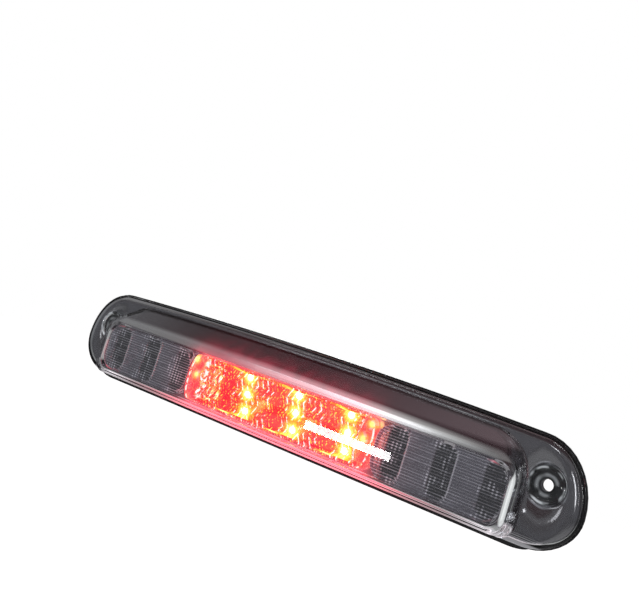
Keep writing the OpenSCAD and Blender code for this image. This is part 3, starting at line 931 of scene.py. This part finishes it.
def prism_height(x, z):
    """Height of the zigzag prisms and of the raised plain ends of the brake lens above its face."""
    column = max(-BRAKE_PITCH, min(BRAKE_PITCH, BRAKE_PITCH * round(x / BRAKE_PITCH)))
    u = abs(x - column) - zigzag_offset(z)
    from_middle = z - (BRAKE_TOP + BRAKE_BOTTOM) / 2
    arc = ARC_X + ARC_BOW * (from_middle / ARC_SPAN) ** 2
    if abs(x) > arc:
        return END_HEIGHT * min(1.0, (abs(x) - arc) / 0.8)
    if abs(x) > PRISM_END or u < PRISM_START:
        return 0.0
    from_crest = abs((u - PRISM_START) % PRISM_PITCH - PRISM_PITCH / 2)
    return PRISM_HEIGHT * max(0.0, 1 - from_crest / (PRISM_WIDTH / 2))


def build_brake_lens():
    """Clear red plate with zigzag prisms and raised plain ends on its face."""
    xh, top, bottom, rx, rz = brake_window(LENS_OVERLAP).sizes[:5]
    columns, rows = 440, 96
    face_w, edge_w = 18.7, 1.5
    shell = Shell()

    def line(z, w_at):
        """A row of corners from end to end of the lens, as long as its rounded ends allow."""
        past = max(z - (top - rz), (bottom + rz) - z, 0.0) / rz
        half = xh - rx + rx * math.sqrt(max(1 - past * past, 0.001))
        places = [-half + 2 * half * i / columns for i in range(columns + 1)]
        return [shell.corner(x, z, w_at(x)) for x in places]

    front, back = [], []
    for j in range(rows + 1):
        z = bottom + (top - bottom) * j / rows
        margin = min(1.0, (top - z) / edge_w, (z - bottom) / edge_w)
        front.append(line(z, lambda x: face_w + prism_height(x, z) * margin))
        back.append(line(z, lambda x: PAN_FLOOR + LENS_GAP))
    shell.grid(front)
    shell.grid(back, flip=True)
    for j in range(rows):
        shell.cap([front[j][0], front[j + 1][0], back[j + 1][0], back[j][0]])
        shell.cap([front[j + 1][-1], front[j][-1], back[j][-1], back[j + 1][-1]])
    for i in range(columns):
        shell.cap([front[0][i + 1], front[0][i], back[0][i], back[0][i + 1]])
        shell.cap([front[-1][i], front[-1][i + 1], back[-1][i + 1], back[-1][i]])
    shell.piece("zigzag_brake_lens", "brake_lens_acrylic", "brake_inner_lens", sharp=20)


def build_cargo_lens(side):
    """Clear box with horizontal flutes on its face, standing on the bezel's floor."""
    xh, top, bottom, r = cargo_outline().sizes[:4]
    middle_x, middle_z, height = side * CARGO_LENS_X, (top + bottom) / 2, top - bottom
    columns, per_flute = 28, 8
    face_w, wall, roof = 25.2, 1.5, 1.8
    flute_depth, edge_w, edge_drop, least = 0.44, 0.8, 0.7, 0.02
    rows = round(height / FLUTE_PITCH) * per_flute
    shell = Shell()
    face = []
    for j in range(rows + 1):
        z = bottom + height * j / rows
        past = max(abs(z - middle_z) - (height / 2 - r), 0.0)
        half = xh - r + math.sqrt(max(r * r - past * past, 0.0))
        swell = flute_depth * math.sin(math.pi * (j % per_flute) / per_flute) ** 0.8
        line = []
        for i in range(columns + 1):
            u = -math.cos(math.pi * i / columns)
            edge = min(1.0, half - abs(u * half), (top - z) / edge_w + least, (z - bottom) / edge_w + least)
            edge = max(0.0, edge)
            w = face_w - edge_drop * (1 - edge) ** 2 + swell * edge
            line.append(shell.corner(middle_x + u * half, z, w))
        face.append(line)
    shell.grid(face)
    rim = [*face[0], *(line[-1] for line in face[1:]),
           *face[-1][-2::-1], *(line[0] for line in face[-2:0:-1])]

    def shrunk(by, w):
        """The rim drawn in from the sides and moved to w."""
        loop = []
        for vert in rim:
            x, z = vert.co.x / MM - middle_x, vert.co.z / MM - middle_z
            loop.append(shell.corner(middle_x + x * (1 - by / xh), middle_z + z * (1 - by / (height / 2)), w))
        return loop

    foot_w = PAN_FLOOR + LENS_GAP
    inside = [shrunk(by, w) for by, w in ((0.0, foot_w), (wall, foot_w), (wall, face_w - roof))]
    shell.loft([rim, *inside])
    shell.cap(inside[-1])
    bmesh.ops.remove_doubles(shell.bm, verts=shell.bm.verts, dist=0.00001)
    name = "left" if side < 0 else "right"
    shell.piece("fluted_cargo_lens_" + name, "fluted_acrylic", "cargo_lens_" + name, sharp=40)


def diode_holes(shell, x, steps, profile):
    """Flared holes for a column of diodes, as (radius, w); returns their front loops."""
    holes = []
    for row in (-1, 0, 1):
        z = ROW_MIDDLE + row * ROW_PITCH
        loops = [shell.leaning_loop(moved(circle(r, steps), x, z), w) for r, w in profile]
        shell.loft(loops)
        holes.append(loops[0])
    return holes


def build_brake_reflector():
    """Mirror box behind the brake lens, tapering to its back wall, with a hole for each diode."""
    shell = Shell()
    front = brake_window(0)
    back = Ring(76, 3.6, -34.6, (5, 5), (5, 5))
    loops = [shell.loop(front.points(), FLOOR_BACK)]
    for ring, w, share in ((front.mixed(back, 0.5), 3.2, 0.5), (back, CUP_FLOOR + 1.2, 1.0),
                           (back.grown(-0.5, -0.5, -0.5), CUP_FLOOR, 1.0)):
        loops.append(shell.leaning_loop(ring.points(), w, share))
    shell.loft(loops)
    profile = ((3.4, CUP_FLOOR), (3.2, CUP_FLOOR - 0.9), (3.1, CUP_FLOOR - 1.4))
    holes = [hole for column in (-1, 0, 1) for hole in diode_holes(shell, column * BRAKE_PITCH, 32, profile)]
    shell.sheet_with_holes(loops[-1], *holes)
    thicken(shell.piece("brake_mirror_box", "reflector_metal", "brake_reflector", sharp=25))


def build_cargo_reflector(side):
    """Three upright oval mirror cups, narrowing towards their diodes."""
    shell = Shell()
    front = FLOOR_BACK - 0.05
    flange = shell.loop(moved(Ring(46.2, 6.4, -35.8, (5, 5), (5, 5)).points(), side * 141.6), front)
    profile = ((3.4, CUP_FLOOR - 0.05), (3.1, CUP_FLOOR - 1.2))
    openings = []
    for x in cup_places(side):
        loops, steps = [], 9
        for i in range(steps + 1):
            t = i / steps
            points = moved(cup_outline(-1.2 * t ** 2.2), x, SLOT_MIDDLE)
            loops.append(shell.leaning_loop(points, front - (FLOOR_BACK - CUP_FLOOR) * t, t))
        shell.loft(loops)
        openings.append(loops[0])
        shell.sheet_with_holes(loops[-1], *diode_holes(shell, x, 28, profile))
    shell.sheet_with_holes(flange, *openings)
    name = "left" if side < 0 else "right"
    thicken(shell.piece("cargo_mirror_cups_" + name, "cargo_reflector_metal", "cargo_reflector_" + name,
                        sharp=30))


# ---------------------------------------------------------------- build

clear_lens = build_outer_lens()
build_bezel()
build_brake_lens()
build_brake_reflector()
for lamp_side in (-1, 1):
    build_cargo_lens(lamp_side)
    build_cargo_reflector(lamp_side)

for entry in frame["record"]["subparts"]:
    node = frame["nodes"][entry["node"]]
    node.data.materials.clear()
    node.data.materials.append(MATERIALS[entry["material_slot"]])


# ---------------------------------------------------------------- stage

def look(location, forward, up):
    """Matrix of a camera or lamp at a place, looking along forward."""
    forward = Vector(forward).normalized()
    right = forward.cross(Vector(up)).normalized()
    true_up = right.cross(forward)
    rotation = Matrix((right, true_up, -forward)).transposed().to_4x4()
    return Matrix.Translation(Vector(location)) @ rotation


def add_camera():
    data = bpy.data.cameras.new("camera")
    data.sensor_width = 36
    data.lens = 42.64
    data.clip_start = 0.01
    camera = bpy.data.objects.new("camera", data)
    camera.matrix_world = look((0.3134, -0.5140, 0.0486), (-0.526, 0.849, 0.048), (-0.229, -0.196, 0.953))
    bpy.context.scene.collection.objects.link(camera)
    bpy.context.scene.camera = camera
    return camera


def add_area(name, location, target, size, power, up=(0, 0, 1)):
    data = bpy.data.lights.new(name, "AREA")
    data.shape = "RECTANGLE"
    data.size, data.size_y = size
    data.energy = power
    lamp = bpy.data.objects.new(name, data)
    lamp.matrix_world = look(location, Vector(target) - Vector(location), up)
    lamp.visible_camera = False
    bpy.context.scene.collection.objects.link(lamp)
    return lamp


def light_only(lamp, pieces):
    """Lets a lamp light these pieces and nothing else."""
    receivers = bpy.data.collections.new("lit_by_" + lamp.name)
    for piece in pieces:
        receivers.objects.link(piece)
    lamp.light_linking.receiver_collection = receivers


def add_strip_lamp(camera, lens, start, end, distance, thickness, power):
    """A strip lamp that only the lens reflects; its image there runs from start to end, both (x, height)."""
    eye = camera.matrix_world.translation
    front = -LENS_FRONT * MM
    mirrored = Vector((eye.x, 2 * front - eye.y, eye.z))
    ends = []
    for x, z in (start, end):
        ray = Vector((x * MM, front, z * MM)) - mirrored
        ends.append(mirrored + ray * ((distance + mirrored.y) / -ray.y))
    middle = (ends[0] + ends[1]) / 2
    along = ends[1] - ends[0]
    toward = Vector((0, 0, ROW_MIDDLE * MM)) - middle
    lamp = add_area("strip_lamp", middle, middle + toward, (thickness, along.length), power, up=along)
    lamp.visible_transmission = False
    light_only(lamp, [lens])


def world():
    """Pure white to the camera, dark surroundings with a soft horizon in the reflections."""
    background = bpy.data.worlds.new("studio")
    background.use_nodes = True
    tree = background.node_tree
    tree.nodes.clear()
    seen, felt = tree.nodes.new("ShaderNodeBackground"), tree.nodes.new("ShaderNodeBackground")
    fill(seen, {"Color": (1, 1, 1)})
    split = tree.nodes.new("ShaderNodeSeparateXYZ")
    fill(split, {"Vector": tree.nodes.new("ShaderNodeTexCoord").outputs["Generated"]})
    height = times_plus(split.outputs["Z"], 0.5, 0.5)
    fill(felt, {"Color": ramp(height, [
        (0.0, (0.34, 0.34, 0.34)), (0.28, (0.28, 0.28, 0.28)), (0.40, (0.13, 0.13, 0.135)),
        (0.48, (0.17, 0.17, 0.18)), (0.70, (0.13, 0.125, 0.13)), (0.78, (0.21, 0.205, 0.21)),
        (0.84, (0.19, 0.185, 0.19)), (0.88, (0.10, 0.08, 0.083)), (1.0, (0.085, 0.050, 0.057))])})
    sky = choose(tree, "Is Camera Ray", felt.outputs["Background"], seen.outputs["Background"])
    fill(tree.nodes.new("ShaderNodeOutputWorld"), {"Surface": sky})
    bpy.context.scene.world = background


def add_floor():
    """A pale floor well below the lamp, seen by the camera only."""
    half, drop = 6.0, -0.7
    mesh = bpy.data.meshes.new("floor")
    corners = [(x * half, y * half, drop) for x, y in ((-1, -1), (1, -1), (1, 1), (-1, 1))]
    mesh.from_pydata(corners, [], [(0, 1, 2, 3)])
    material, tree, shader = new_material("pale_floor")
    colour = ramp(noise_texture(tree, 3.0), [(0.3, (0.86, 0.86, 0.86)), (0.7, (0.88, 0.88, 0.88))])
    fill(shader, {"Base Color": colour, "Roughness": 0.9,
                  "Emission Color": (1, 1, 1), "Emission Strength": 1.0})
    mesh.materials.append(material)
    floor = bpy.data.objects.new("floor", mesh)
    bpy.context.scene.collection.objects.link(floor)
    floor.visible_glossy = floor.visible_transmission = floor.visible_diffuse = False


main_camera = add_camera()
world()
add_floor()
add_area("key_softbox", (-0.35, -0.76, 0.47), (0.07, 0, 0), (0.5, 0.18), 0.3)
add_area("corner_softbox", (0.25, -0.78, 0.55), (0.19, 0, 0), (0.20, 0.12), 0.2)
add_area("side_softbox", (0.62, -0.90, 0.14), (0.19, 0, 0), (0.07, 0.35), 0.25)
back_softbox = add_area("back_softbox", (-0.75, 0.95, 0.55), (0, 0.03, 0), (0.7, 0.5), 22)
light_only(back_softbox, [frame["nodes"][name] for name in (
    "rear_housing", "connector_socket", "connector_pins", "connector_seal", "breather_membranes",
    "housing_screws")])
add_strip_lamp(main_camera, clear_lens, (38.5, -17.2), (103.5, -17.1), 0.9, 0.017, 0.26)

scene = bpy.context.scene
scene.view_settings.view_transform = "Standard"
scene.view_settings.look = "None"
scene.cycles.max_bounces = 24
scene.cycles.transmission_bounces = 20
scene.cycles.glossy_bounces = 8
scene.cycles.transparent_max_bounces = 24
scene.cycles.sample_clamp_indirect = 6.0
